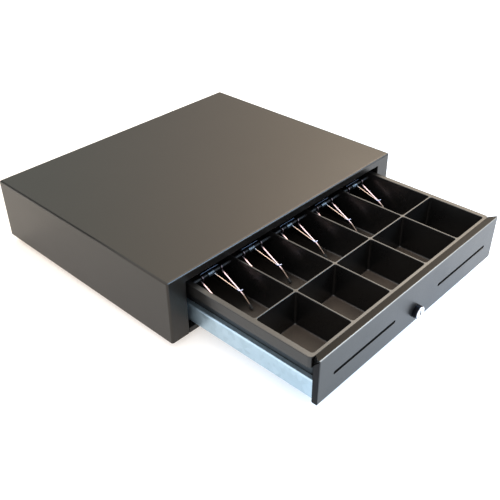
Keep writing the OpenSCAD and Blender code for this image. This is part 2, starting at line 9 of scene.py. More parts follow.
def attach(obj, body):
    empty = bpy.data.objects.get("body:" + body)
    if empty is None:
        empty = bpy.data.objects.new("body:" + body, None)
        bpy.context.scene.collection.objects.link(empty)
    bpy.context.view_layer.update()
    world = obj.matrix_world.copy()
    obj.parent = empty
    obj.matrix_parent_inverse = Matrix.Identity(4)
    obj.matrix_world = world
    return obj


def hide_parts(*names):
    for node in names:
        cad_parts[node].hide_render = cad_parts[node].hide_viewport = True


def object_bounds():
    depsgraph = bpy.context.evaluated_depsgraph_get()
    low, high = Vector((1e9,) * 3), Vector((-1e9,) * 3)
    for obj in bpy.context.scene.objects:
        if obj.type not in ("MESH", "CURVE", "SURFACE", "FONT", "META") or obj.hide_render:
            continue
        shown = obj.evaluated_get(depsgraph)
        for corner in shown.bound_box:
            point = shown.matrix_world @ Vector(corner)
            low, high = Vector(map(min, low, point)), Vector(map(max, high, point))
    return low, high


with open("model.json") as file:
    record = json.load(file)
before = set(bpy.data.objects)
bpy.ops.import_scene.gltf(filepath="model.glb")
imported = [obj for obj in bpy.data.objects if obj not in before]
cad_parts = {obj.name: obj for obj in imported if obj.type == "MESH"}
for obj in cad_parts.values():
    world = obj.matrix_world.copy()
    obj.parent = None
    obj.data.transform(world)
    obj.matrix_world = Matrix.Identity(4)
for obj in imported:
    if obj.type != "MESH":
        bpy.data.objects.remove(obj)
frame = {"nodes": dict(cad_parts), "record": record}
cad_low, cad_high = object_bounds()

# Lengths below are in millimetres, with Y measured back from the casing's front plane.
MM = 0.001
FRONT_PLANE = -195.0
ROD_Y, ROD_Z, ROD_R = 8.0, 67.5, 2.0


def place(p):
    """A point given in the script's millimetres, in the row frame's metres."""
    return Vector((p[0] * MM, (p[1] + FRONT_PLANE) * MM, p[2] * MM))


# ---------------------------------------------------------------- materials


class Graph:
    """A procedural material under construction. Texture coordinates are the object's own."""

    def __init__(self, name):
        self.material = bpy.data.materials.new(name)
        self.material.use_nodes = True
        self.tree = self.material.node_tree
        self.shader = self.tree.nodes["Principled BSDF"]
        self.coords = self.add("ShaderNodeTexCoord").outputs["Object"]

    def add(self, kind, links=None, values=None, **settings):
        node = self.tree.nodes.new(kind)
        for key, value in settings.items():
            setattr(node, key, value)
        for key, value in (values or {}).items():
            node.inputs[key].default_value = value
        for key, socket in (links or {}).items():
            self.tree.links.new(socket, node.inputs[key])
        return node

    def noise(self, scale, detail=2.0, roughness=0.5, coords=None):
        node = self.add("ShaderNodeTexNoise", {"Vector": coords or self.coords},
                        {"Scale": scale, "Detail": detail, "Roughness": roughness})
        return node.outputs["Fac"]

    def cells(self, scale, output="Distance", coords=None, feature="F1"):
        node = self.add("ShaderNodeTexVoronoi", {"Vector": coords or self.coords},
                        {"Scale": scale}, feature=feature)
        return node.outputs[output]

    def stretched(self, factors):
        node = self.add("ShaderNodeVectorMath", {0: self.coords}, {1: factors},
                        operation="MULTIPLY")
        return node.outputs["Vector"]

    def remap(self, value, low, high, to_low, to_high):
        node = self.add("ShaderNodeMapRange", {"Value": value},
                        {"From Min": low, "From Max": high, "To Min": to_low, "To Max": to_high})
        return node.outputs["Result"]

    def ramp(self, value, stops):
        node = self.add("ShaderNodeValToRGB", {"Fac": value})
        ramp = node.color_ramp
        while len(ramp.elements) < len(stops):
            ramp.elements.new(0.5)
        for element, (position, colour) in zip(ramp.elements, stops):
            element.position = position
            element.color = (*colour, 1)
        return node.outputs["Color"]

    def math(self, operation, a, b):
        links = {i: s for i, s in enumerate((a, b)) if not isinstance(s, (int, float))}
        values = {i: s for i, s in enumerate((a, b)) if isinstance(s, (int, float))}
        return self.add("ShaderNodeMath", links, values, operation=operation).outputs[0]

    def bump(self, height, distance, strength=1.0, below=None):
        links = {"Height": height}
        if below is not None:
            links["Normal"] = below
        node = self.add("ShaderNodeBump", links, {"Strength": strength, "Distance": distance})
        return node.outputs["Normal"]

    def edge_wear(self, radius=0.0012):
        """1 on outer edges and 0 elsewhere, from how far the rounded normal turns away."""
        bevel = self.add("ShaderNodeBevel", values={"Radius": radius}, samples=4)
        normal = self.add("ShaderNodeNewGeometry").outputs["Normal"]
        dot = self.add("ShaderNodeVectorMath", {0: bevel.outputs["Normal"], 1: normal},
                       operation="DOT_PRODUCT")
        return self.remap(dot.outputs["Value"], 0.98, 0.7, 0.0, 1.0)

    def blend(self, colour, over, factor):
        """The fixed colour given by over, laid on colour by factor."""
        mix = self.add("ShaderNodeMix", {"Factor": factor}, data_type="RGBA")
        self.tree.links.new(colour, mix.inputs[6])
        mix.inputs[7].default_value = (*over, 1.0)
        return mix.outputs[2]

    def finish(self, colour=None, roughness=None, normal=None, **constants):
        for socket, key in ((colour, "Base Color"), (roughness, "Roughness"), (normal, "Normal")):
            if socket is not None:
                self.tree.links.new(socket, self.shader.inputs[key])
        for key, value in constants.items():
            self.shader.inputs[key.replace("_", " ")].default_value = value
        return self.material


def make_black_paint(name, reflection_tint, level, bend_highlight=None):
    """Powder coat: a fine orange peel over near-black, with faint dusting and wipe marks. Reflection
    colour and level are painted light; the last argument is a painted highlight's height, depth and
    colour along a bend."""
    g = Graph(name)
    peel = g.noise(900.0, 3.0, 0.6)
    grain = g.cells(1500.0)
    waves = g.noise(9.0, 1.0)
    smear = g.noise(14.0, 4.0, 0.6, g.stretched((1.0, 0.35, 1.0)))
    speck = g.remap(g.noise(2600.0, 1.0), 0.68, 0.8, 0.0, 1.0)
    tone = g.math("ADD", g.math("MULTIPLY", smear, 0.7), g.math("MULTIPLY", speck, 0.35))
    colour = g.ramp(tone, [(0.2, (0.0030, 0.0029, 0.0028)), (0.6, (0.0044, 0.0042, 0.0040)),
                           (1.0, (0.0120, 0.0112, 0.0104))])
    # painted highlight: a band of the given colour along the bend, weaker towards +x
    if bend_highlight:
        height, depth, shade = bend_highlight
        position = g.add("ShaderNodeSeparateXYZ", {"Vector": g.coords}).outputs
        edge = g.math("MULTIPLY",
                      g.remap(position["Z"], height - 0.0016, height - 0.0005, 0.0, 1.0),
                      g.remap(position["Y"], depth + 0.0014, depth + 0.0006, 0.0, 1.0))
        edge = g.math("MULTIPLY", edge, g.remap(smear, 0.3, 0.7, 0.75, 1.0))
        edge = g.math("MULTIPLY", edge, g.remap(position["X"], 0.0, 0.26, 1.0, 0.45))
        colour = g.blend(colour, shade, edge)
    roughness = g.remap(g.math("ADD", smear, g.math("MULTIPLY", peel, 0.3)), 0.3, 1.0, 0.29, 0.37)
    normal = g.bump(waves, 0.0006, 0.6)
    normal = g.bump(peel, 0.00008, 0.5, normal)
    normal = g.bump(grain, 0.00005, 0.3, normal)
    return g.finish(colour, roughness, normal, Specular_IOR_Level=level, IOR=1.5,
                    Specular_Tint=(*reflection_tint, 1.0))


def make_zinc():
    """Galvanised sheet: crystals of slightly different brightness with a bluish cast."""
    g = Graph("galvanised_steel")
    wobble = g.noise(60.0, 2.0)
    cell = g.add("ShaderNodeTexVoronoi", {"Vector": g.coords}, {"Scale": 130.0})
    crystal = g.add("ShaderNodeSeparateColor", {"Color": cell.outputs["Color"]}).outputs[0]
    rolled = g.noise(40.0, 3.0, 0.6, g.stretched((12.0, 0.4, 12.0)))
    tone = g.math("ADD", g.math("MULTIPLY", crystal, 0.45),
                  g.math("ADD", g.math("MULTIPLY", wobble, 0.3), g.math("MULTIPLY", rolled, 0.25)))
    colour = g.ramp(tone, [(0.15, (0.31, 0.415, 0.49)), (0.5, (0.36, 0.475, 0.56)),
                           (0.9, (0.42, 0.535, 0.62))])
    roughness = g.remap(tone, 0.1, 0.9, 0.30, 0.46)
    normal = g.bump(rolled, 0.00006, 0.5)
    normal = g.bump(crystal, 0.00002, 0.4, normal)
    return g.finish(colour, roughness, normal, Metallic=0.92)


def make_bright_steel():
    g = Graph("bright_steel")
    lines = g.noise(90.0, 3.0, 0.6, g.stretched((1.0, 14.0, 14.0)))
    dull = g.noise(45.0, 3.0)
    colour = g.ramp(dull, [(0.3, (0.34, 0.36, 0.40)), (0.7, (0.46, 0.48, 0.52))])
    roughness = g.remap(lines, 0.3, 0.7, 0.20, 0.34)
    return g.finish(colour, roughness, g.bump(lines, 0.00003, 0.4), Metallic=1.0)


def along_arm(g, reach):
    """0 at the hinge rod and 1 at the given distance in front of it, in metres."""
    y = g.add("ShaderNodeSeparateXYZ", {"Vector": g.coords}).outputs["Y"]
    hinge = (ROD_Y + FRONT_PLANE) * MM
    return g.remap(y, hinge, hinge - reach, 0.0, 1.0)


def make_wire():
    """Plated spring wire: rosy and bright on the arms, with painted shade where it wraps the rod and
    along the lower arm to the toe.
    """
    g = Graph("plated_wire")
    lines = g.noise(160.0, 2.0, 0.5, g.stretched((6.0, 1.0, 1.0)))
    dull = g.math("MULTIPLY", g.noise(80.0, 3.0), 0.04)
    tone = g.math("ADD", along_arm(g, 0.060), dull)
    # painted shade: near black at the rod, dark brown on the lower arm towards the toe
    colour = g.ramp(tone, [(0.02, (0.020, 0.024, 0.034)), (0.10, (0.11, 0.09, 0.10)),
                           (0.15, (0.88, 0.62, 0.64)), (0.64, (0.95, 0.74, 0.76)),
                           (0.74, (0.26, 0.19, 0.15)), (1.0, (0.14, 0.10, 0.08))])
    roughness = g.remap(lines, 0.3, 0.7, 0.26, 0.40)
    return g.finish(colour, roughness, g.bump(lines, 0.00002, 0.3), Metallic=1.0)


def make_spring():
    """Torsion spring: a dark bluish coil as painted shade, a straw-coloured leg and a painted bluish
    highlight at its end.
    """
    g = Graph("torsion_spring_steel")
    lines = g.noise(150.0, 2.0, 0.5, g.stretched((6.0, 1.0, 1.0)))
    dull = g.math("MULTIPLY", g.noise(90.0, 3.0), 0.04)
    tone = g.math("ADD", along_arm(g, 0.041), dull)
    # painted shade on the coil at the rod, painted bluish highlight at the leg's end
    colour = g.ramp(tone, [(0.03, (0.055, 0.080, 0.105)), (0.12, (0.16, 0.20, 0.24)),
                           (0.24, (0.52, 0.38, 0.30)), (0.78, (0.74, 0.55, 0.44)),
                           (0.88, (0.70, 0.72, 0.95))])
    roughness = g.remap(lines, 0.3, 0.7, 0.26, 0.40)
    return g.finish(colour, roughness, g.bump(lines, 0.00002, 0.3), Metallic=1.0)


def make_chrome():
    g = Graph("chrome")
    scuff = g.noise(220.0, 4.0, 0.65)
    colour = g.ramp(scuff, [(0.3, (0.50, 0.51, 0.53)), (0.7, (0.60, 0.61, 0.63))])
    roughness = g.remap(scuff, 0.35, 0.75, 0.06, 0.16)
    return g.finish(colour, roughness, g.bump(scuff, 0.00001, 0.3), Metallic=1.0)


def make_shaded_rod():
    g = Graph("rod_painted_shade")
    tone = g.noise(200.0, 3.0)
    # painted shade: the rod is near black with a weak reflection, standing in for the shade under the
    # casing
    colour = g.ramp(tone, [(0.3, (0.0030, 0.0032, 0.0040)), (0.7, (0.0080, 0.0085, 0.0100))])
    roughness = g.remap(tone, 0.3, 0.7, 0.5, 0.62)
    return g.finish(colour, roughness, g.bump(tone, 0.00003, 0.4), Specular_IOR_Level=0.2)


def make_lock_metal():
    """Chrome on the faces turned to the front and painted shade on the sides, set by the way each face
    turns.
    """
    g = Graph("lock_metal_lit")
    scuff = g.noise(220.0, 4.0, 0.65)
    normal = g.add("ShaderNodeNewGeometry").outputs["Normal"]
    backward = g.add("ShaderNodeSeparateXYZ", {"Vector": normal}).outputs["Y"]
    lit_side = g.math("MULTIPLY", backward, -1.0)
    tone = g.math("ADD", g.remap(lit_side, 0.25, 0.75, 0.0, 0.8), g.math("MULTIPLY", scuff, 0.2))
    # painted light: bright chrome where the face turns to the front, painted shade where it turns
    # sideways
    colour = g.ramp(tone, [(0.05, (0.030, 0.032, 0.042)), (0.25, (0.060, 0.062, 0.075)),
                           (0.75, (0.52, 0.54, 0.57)), (1.0, (0.66, 0.68, 0.71))])
    roughness = g.remap(scuff, 0.35, 0.75, 0.10, 0.22)
    return g.finish(colour, roughness, g.bump(scuff, 0.00001, 0.3), Metallic=1.0)


def make_dark_screws():
    g = Graph("black_oxide_steel")
    tone = g.noise(300.0, 3.0)
    colour = g.ramp(tone, [(0.3, (0.020, 0.020, 0.022)), (0.75, (0.055, 0.053, 0.052))])
    roughness = g.remap(tone, 0.3, 0.7, 0.28, 0.42)
    return g.finish(colour, roughness, g.bump(tone, 0.00004, 0.4), Metallic=0.8)


def make_black_plastic():
    """Moulded plastic with a fine leathery grain, a little paler on edges worn by rubbing, and brown
    floors that are partly dusty and partly painted light.
    """
    g = Graph("black_moulded_plastic")
    grain = g.cells(1100.0, feature="SMOOTH_F1")
    fine = g.noise(1700.0, 3.0, 0.6)
    rub = g.noise(22.0, 4.0, 0.6)
    wear = g.math("MULTIPLY", g.edge_wear(), g.remap(g.noise(70.0, 3.0), 0.35, 0.65, 0.3, 1.0))
    tone = g.math("ADD", g.math("MULTIPLY", rub, 0.55), g.math("MULTIPLY", wear, 0.5))
    colour = g.ramp(tone, [(0.15, (0.0022, 0.0021, 0.0021)), (0.5, (0.0040, 0.0037, 0.0035)),
                           (0.95, (0.0220, 0.0200, 0.0185))])
    up = g.add("ShaderNodeSeparateXYZ",
               {"Vector": g.add("ShaderNodeNewGeometry").outputs["Normal"]}).outputs["Z"]
    position = g.add("ShaderNodeSeparateXYZ", {"Vector": g.coords}).outputs
    # brown on the compartment floors: partly a dusty deposit, partly painted light, fading to painted
    # shade towards the back
    floor_deposit_and_light = g.math("MULTIPLY", g.remap(up, 0.55, 0.95, 0.0, 1.0),
                     g.remap(position["Z"], 0.050, 0.030, 0.0, 1.0))
    floor_deposit_and_light = g.math("MULTIPLY", floor_deposit_and_light, g.remap(position["Y"], -0.225, -0.265, 0.08, 1.0))
    deposit_and_light = g.math("MULTIPLY", floor_deposit_and_light, g.remap(g.noise(30.0, 4.0, 0.6), 0.3, 0.7, 0.65, 1.0))
    colour = g.blend(colour, (0.070, 0.050, 0.036), deposit_and_light)
    roughness = g.remap(g.math("ADD", g.math("MULTIPLY", fine, 0.4), g.math("MULTIPLY", rub, 0.6)),
                        0.3, 0.7, 0.25, 0.34)
    roughness = g.math("ADD", roughness, g.math("MULTIPLY", floor_deposit_and_light, 0.35))
    normal = g.bump(grain, 0.00006, 0.3)
    normal = g.bump(fine, 0.00004, 0.4, normal)
    return g.finish(colour, roughness, normal, Specular_IOR_Level=0.5, IOR=1.5)


def make_rubber():
    g = Graph("black_rubber")
    tone = g.noise(350.0, 4.0, 0.65)
    colour = g.ramp(tone, [(0.3, (0.012, 0.012, 0.012)), (0.7, (0.030, 0.029, 0.028))])
    roughness = g.remap(tone, 0.3, 0.7, 0.62, 0.82)
    return g.finish(colour, roughness, g.bump(tone, 0.0001, 0.5), Specular_IOR_Level=0.4)


def make_nylon():
    g = Graph("white_nylon")
    tone = g.noise(180.0, 3.0)
    colour = g.ramp(tone, [(0.3, (0.66, 0.64, 0.58)), (0.7, (0.80, 0.79, 0.74))])
    roughness = g.remap(tone, 0.3, 0.7, 0.36, 0.5)
    return g.finish(colour, roughness, g.bump(tone, 0.00003, 0.4), Subsurface_Weight=0.12,
                    Subsurface_Scale=0.002)


def make_red_plastic():
    g = Graph("red_plastic")
    tone = g.noise(260.0, 3.0)
    colour = g.ramp(tone, [(0.3, (0.50, 0.03, 0.02)), (0.7, (0.66, 0.05, 0.03))])
    roughness = g.remap(tone, 0.3, 0.7, 0.3, 0.42)
    return g.finish(colour, roughness, g.bump(tone, 0.00003, 0.4))


def make_solenoid():
    """Yellow winding tape between the plates of a plated yoke."""
    g = Graph("solenoid_winding")
    lines = g.noise(60.0, 2.0, 0.5, g.stretched((0.3, 0.3, 24.0)))
    colour = g.ramp(lines, [(0.3, (0.50, 0.34, 0.04)), (0.7, (0.70, 0.50, 0.08))])
    roughness = g.remap(lines, 0.3, 0.7, 0.34, 0.5)
    return g.finish(colour, roughness, g.bump(lines, 0.0001, 0.4))


MATERIALS = {
    # the casing paint's warm reflection colour is painted light
    "black_paint": make_black_paint("black_powder_coat", (1.0, 0.90, 0.80), 0.36,
                                    # painted highlight: a bluish band along the casing's front top
                                    # bend, fading to the right
                                    (0.0975, -0.195, (0.040, 0.085, 0.155))),
    "zinc_steel": make_zinc(),
    "bright_steel": make_bright_steel(),
    "chrome": make_chrome(),
    "dark_screws": make_dark_screws(),
    "black_plastic": make_black_plastic(),
    "red_plastic": make_red_plastic(),
    "nylon": make_nylon(),
    "rubber": make_rubber(),
}
# copies of the paint for the drawer front: bluish, stronger reflection on the face as painted light;
# weaker on ends and top band as painted shade
FRONT_PAINT_LIT = make_black_paint("black_powder_coat_front_lit", (0.84, 0.93, 1.0), 0.44,
                               # painted highlight: a pale band along the top front bend of the drawer
                               # face
                               (0.0805, -0.4075, (0.27, 0.265, 0.25)))
END_PAINT_SHADED = make_black_paint("black_powder_coat_ends_shaded", (0.7, 0.76, 1.0), 0.10)
TOP_PAINT_SHADED = make_black_paint("black_powder_coat_top_band_shaded", (1.0, 0.86, 0.70), 0.17)
WIRE = make_wire()
SPRING = make_spring()
ROD_PAINTED_SHADE = make_shaded_rod()
LOCK_METAL_LIT = make_lock_metal()
SOLENOID = make_solenoid()

# ---------------------------------------------------------------- mesh building


class Build:
    """Points and faces of one piece, in the script's millimetres. Bends hold edge radii."""

    def __init__(self):
        self.points = []
        self.faces = []
        self.bends = {}

    def add(self, points, faces):
        first = len(self.points)
        self.points += [tuple(p) for p in points]
        self.faces += [[first + i for i in f] for f in faces]
        return first

    def strip(self, lines, closed=False, cap=False, across=None, along=None, cap_first=False):
        """Faces between lines of equal length. across gives line i a bend radius along it,
        along gives one to the edge from point j of line i to the next line."""
        n = len(lines[0])
        first = self.add([p for line in lines for p in line], [])
        spans = n if closed else n - 1
        for i in range(len(lines) - 1):
            for j in range(spans):
                a, b = first + i * n + j, first + i * n + (j + 1) % n
                self.faces.append([a, b, b + n, a + n])
        for i, radius in (across or {}).items():
            for j in range(spans):
                self.bend(first + i * n + j, first + i * n + (j + 1) % n, radius)
        for (i, j), radius in (along or {}).items():
            self.bend(first + i * n + j, first + (i + 1) * n + j, radius)
        if cap:
            self.faces.append([first + (len(lines) - 1) * n + j for j in range(n)])
        if cap_first:
            self.faces.append([first + j for j in reversed(range(n))])
        return first

    def bend(self, a, b, radius):
        self.bends[frozenset((a, b))] = radius

    def object(self, name, flip=False):
        mesh = bpy.data.meshes.new(name)
        faces = [list(reversed(f)) for f in self.faces] if flip else self.faces
        mesh.from_pydata([place(p) for p in self.points], [], faces)
        if self.bends:
            largest = max(self.bends.values())
            weights = mesh.attributes.new("bevel_weight_edge", "FLOAT", "EDGE")
            for edge in mesh.edges:
                radius = self.bends.get(frozenset(edge.vertices), 0.0)
                weights.data[edge.index].value = radius / largest
        mesh.update()
        obj = bpy.data.objects.new(name, mesh)
        bpy.context.scene.collection.objects.link(obj)
        return obj


def fold(obj, radius, segments=6):
    """Rounds the bends by their weights."""
    m = obj.modifiers.new("bends", "BEVEL")
    m.limit_method = "WEIGHT"
    m.offset_type = "OFFSET"
    m.width = radius * MM
    m.segments = segments
    m.use_clamp_overlap = False


def thicken(obj, thickness):
    m = obj.modifiers.new("sheet", "SOLIDIFY")
    m.thickness = thickness * MM
    m.offset = -1.0
    m.use_even_offset = True
    m.use_quality_normals = True


def soften(obj, radius, angle=38.0, segments=2):
    """Small rounding of the edges that are still sharp."""
    m = obj.modifiers.new("edges", "BEVEL")
    m.limit_method = "ANGLE"
    m.angle_limit = math.radians(angle)
    m.width = radius * MM
    m.segments = segments
    m.use_clamp_overlap = True
    m.harden_normals = False


def even_shading(obj):
    for polygon in obj.data.polygons:
        polygon.use_smooth = True
    m = obj.modifiers.new("shading", "WEIGHTED_NORMAL")
    m.weight = 80
    m.keep_sharp = False


def settle(obj):
    """Turns the modifiers so far into the object's own mesh."""
    graph = bpy.context.evaluated_depsgraph_get()
    graph.update()
    mesh = bpy.data.meshes.new_from_object(obj.evaluated_get(graph))
    obj.modifiers.clear()
    old = obj.data
    obj.data = mesh
    bpy.data.meshes.remove(old)
    return obj


def outward(obj):
    """Points all faces of a closed mesh outwards."""
    bm = bmesh.new()
    bm.from_mesh(obj.data)
    bmesh.ops.remove_doubles(bm, verts=bm.verts, dist=1e-6)
    bmesh.ops.recalc_face_normals(bm, faces=bm.faces)
    bm.to_mesh(obj.data)
    bm.free()
    return obj


def combine(obj, tools, operation):
    """Cuts the tools out of obj, or joins them to it, and removes them."""
    for tool in tools:
        outward(tool)
        m = obj.modifiers.new("cut", "BOOLEAN")
        m.operation = operation
        m.solver = "EXACT"
        m.object = tool
    settle(obj)
    for tool in tools:
        bpy.data.objects.remove(tool)
    return obj


def finish_piece(obj, body, slot, nodes, material=None, edge=None, angle=38.0, segments=2,
                 ends=None, top=None):
    if edge:
        soften(obj, edge, angle, segments)
    even_shading(obj)
    obj.data.materials.clear()
    obj.data.materials.append(material or MATERIALS[slot])
    if ends:                                 # shaded copies of the paint on end faces and upward faces: painted shade
        obj.data.materials.append(ends)
        obj.data.materials.append(top)
        for polygon in obj.data.polygons:
            normal = polygon.normal
            polygon.material_index = 1 if abs(normal.x) > 0.9 else 2 if normal.z > 0.94 else 0
    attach(obj, body)
    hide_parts(*nodes)
    return obj


def rounded_rectangle(x0, x1, y0, y1, radius, z, steps=5):
    """Points of a rounded rectangle at height z, anticlockwise from above."""
    points = []
    for cx, cy, start in ((x1 - radius, y0 + radius, -90), (x1 - radius, y1 - radius, 0),
                          (x0 + radius, y1 - radius, 90), (x0 + radius, y0 + radius, 180)):
        for i in range(steps + 1):
            a = math.radians(start + 90 * i / steps)
            points.append((cx + radius * math.cos(a), cy + radius * math.sin(a), z))
    return points


def loft(rings, name):
    """Closed solid through rings of equal length."""
    b = Build()
    b.strip(rings, closed=True, cap=True, cap_first=True)
    return outward(b.object(name))


def box_solid(name, low, high, radius=0.0, segments=3):
    """A block, with rounded edges where radius isn't 0."""
    rings = [rounded_rectangle(low[0], high[0], low[1], high[1], 0.001, z, 1)
             for z in (low[2], high[2])]
    obj = loft(rings, name)
    bm = bmesh.new()
    bm.from_mesh(obj.data)
    bmesh.ops.remove_doubles(bm, verts=bm.verts, dist=5e-6)
    bmesh.ops.dissolve_degenerate(bm, edges=bm.edges, dist=5e-6)
    if radius:
        bmesh.ops.bevel(bm, geom=list(bm.edges), offset=radius * MM, segments=segments,
                        affect="EDGES", profile=0.5)
    bm.to_mesh(obj.data)
    bm.free()
    return obj


def lathe(name, profile, axis, centre, steps=48, builder=None):
    """Solid of revolution. profile is [(distance along the axis, radius)], both ends closed."""
    b = builder or Build()
    rings = []
    for along, radius in profile:
        ring = []
        for i in range(steps):
            a = 2 * math.pi * i / steps
            c, s = max(radius, 0.01) * math.cos(a), max(radius, 0.01) * math.sin(a)
            offset = {"x": (along, c, s), "y": (c, along, s), "z": (c, s, along)}[axis]
            ring.append(tuple(centre[k] + offset[k] for k in range(3)))
        rings.append(ring)
    b.strip(rings, closed=True, cap=True, cap_first=True)
    return None if builder else outward(b.object(name))


def arc(cx, cy, radius, start, end, steps):
    return [(cx + radius * math.cos(math.radians(start + (end - start) * i / steps)),
             cy + radius * math.sin(math.radians(start + (end - start) * i / steps)))
            for i in range(steps + 1)]


def round_corners(points, radius, steps=5):
    """A path whose corners are replaced by smooth arcs."""
    path = [Vector(points[0])]
    for before, corner, after in zip(points, points[1:], points[2:]):
        p = Vector(corner)
        u, v = Vector(before) - p, Vector(after) - p
        reach = min(radius, u.length * 0.45, v.length * 0.45)
        a, c = p + u.normalized() * reach, p + v.normalized() * reach
        for i in range(steps + 1):
            t = i / steps
            path.append((1 - t) ** 2 * a + 2 * t * (1 - t) * p + t * t * c)
    path.append(Vector(points[-1]))
    return path


def sweep(builder, path, radius, sides=12):
    """A round wire along path, closed by domed ends."""
    path = [Vector(p) for p in path]
    kept = [path[0]]
    for p in path[1:]:
        if (p - kept[-1]).length > 0.02:
            kept.append(p)
    tangents = []
    for i in range(len(kept)):
        ahead = kept[min(i + 1, len(kept) - 1)] - kept[max(i - 1, 0)]
        tangents.append(ahead.normalized())
    normal = tangents[0].orthogonal().normalized()
    rings = []
    for i, (p, t) in enumerate(zip(kept, tangents)):
        if i:
            turn = tangents[i - 1].rotation_difference(t)
            normal = (turn @ normal).normalized()
        side = t.cross(normal)
        ends = []
        if i == 0:
            ends = [(-0.9, 0.35), (-0.55, 0.8), (0.0, 1.0)]
        elif i == len(kept) - 1:
            ends = [(0.0, 1.0), (0.55, 0.8), (0.9, 0.35)]
        for shift, scale in ends or [(0.0, 1.0)]:
            centre = p + t * shift * radius
            rings.append([tuple(centre + (normal * math.cos(2 * math.pi * k / sides)
                                          + side * math.sin(2 * math.pi * k / sides))
                                * radius * scale) for k in range(sides)])
    builder.strip(rings, closed=True, cap=True, cap_first=True)


# ---------------------------------------------------------------- casing

SHEET = 1.2
HALF_W = 239.0
DEPTH = 390.0
HEIGHT = 97.5
HALF_OPEN = 208.5
OPEN_TOP = 84.5
LIP = 12.0
BEND = 3.0


def casing_ring(half, top, radius, y, foot=0.0):
    """Section of the casing at y: flat bottom, rounded top corners."""
    outline = [(-half, foot), (half, foot)]
    outline += arc(half - radius, top - radius, radius, 0, 90, 6)
    outline += arc(-half + radius, top - radius, radius, 90, 180, 6)
    return [(x, y, z) for x, z in outline]


def make_casing_cover():
    """Wrapped sheet with rounded front bends and lips folded in around the opening."""
    quarter = [math.radians(a) for a in range(90, -1, -10)]
    outer, inner, mouth = [], [], []
    for a in quarter:
        inset = BEND * (1 - math.cos(a))
        outer.append(casing_ring(HALF_W - inset, HEIGHT - inset, max(0.5, BEND - inset),
                                 BEND * (1 - math.sin(a))))
    outer.append(casing_ring(HALF_W, HEIGHT, BEND, DEPTH - SHEET))
    r = BEND - SHEET
    for a in quarter:
        inset = SHEET + r * (1 - math.cos(a))
        inner.append(casing_ring(HALF_W - inset, HEIGHT - inset, max(0.4, BEND - inset),
                                 SHEET + r * (1 - math.sin(a)), -5.0))
    inner.append(casing_ring(HALF_W - SHEET, HEIGHT - SHEET, r, DEPTH + 5, -5.0))
    cover = loft(outer, "casing_cover_shell")
    combine(cover, [loft(inner, "tool")], "DIFFERENCE")
    frame_half, frame_top = HALF_OPEN + SHEET, OPEN_TOP + SHEET
    combine(cover, [box_solid("tool", (-frame_half, 0.6, SHEET), (frame_half, LIP, frame_top))],
            "UNION")
    fold_r = 1.6
    mouth.append(casing_ring(HALF_OPEN + fold_r, OPEN_TOP + fold_r, 1.0, -1.0, -5.0))
    for a in reversed(quarter):
        wide = fold_r * (1 - math.sin(a))
        mouth.append(casing_ring(HALF_OPEN + wide, OPEN_TOP + wide, 0.8,
                                 fold_r * (1 - math.cos(a)), -5.0))
    mouth.append(casing_ring(HALF_OPEN, OPEN_TOP, 0.8, LIP + 5, -5.0))
    combine(cover, [loft(mouth, "tool")], "DIFFERENCE")
    return finish_piece(cover, "casing", "black_paint", ["casing_cover"])


def make_back_panel():
    """Rear sheet with a window for the jack and vents."""
    y0, y1 = DEPTH - SHEET, DEPTH
    r = BEND
    outline = [(-HALF_W, 0), (HALF_W, 0)]
    outline += arc(HALF_W - r, HEIGHT - r, r, 0, 90, 6)
    outline += arc(-HALF_W + r, HEIGHT - r, r, 90, 180, 6)
    b = Build()
    b.strip([[(x, y, z) for x, z in outline] for y in (y0, y1)], closed=True, cap=True,
            cap_first=True)
    panel = outward(b.object("back_panel_sheet"))
    jack_x, jack_z = -150.0, 45.0
    tools = [box_solid("tool", (jack_x - 6, y0 - 1, jack_z - 6), (jack_x + 6, y1 + 1, jack_z + 6))]
    for i in range(6):
        x = 72.0 + i * 12
        slot = [(x + px, pz) for px, pz in
                arc(0, 73, 2, 0, 180, 8) + arc(0, 57, 2, 180, 360, 8)]
        t = Build()
        t.strip([[(px, y, pz) for px, pz in slot] for y in (y0 - 1, y1 + 1)], closed=True,
                cap=True, cap_first=True)
        tools.append(t.object("tool"))
    combine(panel, tools, "DIFFERENCE")
    return finish_piece(panel, "casing", "black_paint", ["back_panel"], edge=0.3, angle=50)


def make_back_screws():
    """Pan-head screws with cross recesses."""
    b = Build()
    heads, tools = [], []
    for x in (-200, -70, 30, 200):
        for z in (10, 88):
            profile = [(0, 0), (0, 2.9), (0.3, 3.0), (0.9, 2.85), (1.35, 2.3), (1.65, 1.4), (1.8, 0)]
            lathe("screws", profile, "y", (x, DEPTH, z), 24, builder=b)
            for w, h in ((3.2, 0.7), (0.7, 3.2)):
                tools.append(box_solid("tool", (x - w / 2, DEPTH + 0.9, z - h / 2),
                                       (x + w / 2, DEPTH + 3, z + h / 2)))
    screws = outward(b.object("back_panel_screw_heads"))
    combine(screws, tools, "DIFFERENCE")
    return finish_piece(screws, "casing", "dark_screws", ["back_panel_screws"])


def make_feet():
    """Tapered rubber feet with a sunk centre and a rounded tread."""
    b = Build()
    profile = [(0, 0), (0, 10.9), (-0.3, 11.0), (-1.6, 10.9), (-9.6, 9.9), (-10.4, 9.6),
               (-10.85, 9.0), (-11, 8.2), (-11, 5.2), (-10.7, 4.8), (-7.2, 4.5), (-7.0, 4.2),
               (-7.0, 0)]
    for sx in (-1, 1):
        for y in (42, DEPTH - 42):
            lathe("feet", profile, "z", (sx * 197, y, 0), 48, builder=b)
    feet = outward(b.object("rubber_feet_set"))
    return finish_piece(feet, "casing", "rubber", ["rubber_feet"])


# ---------------------------------------------------------------- drawer

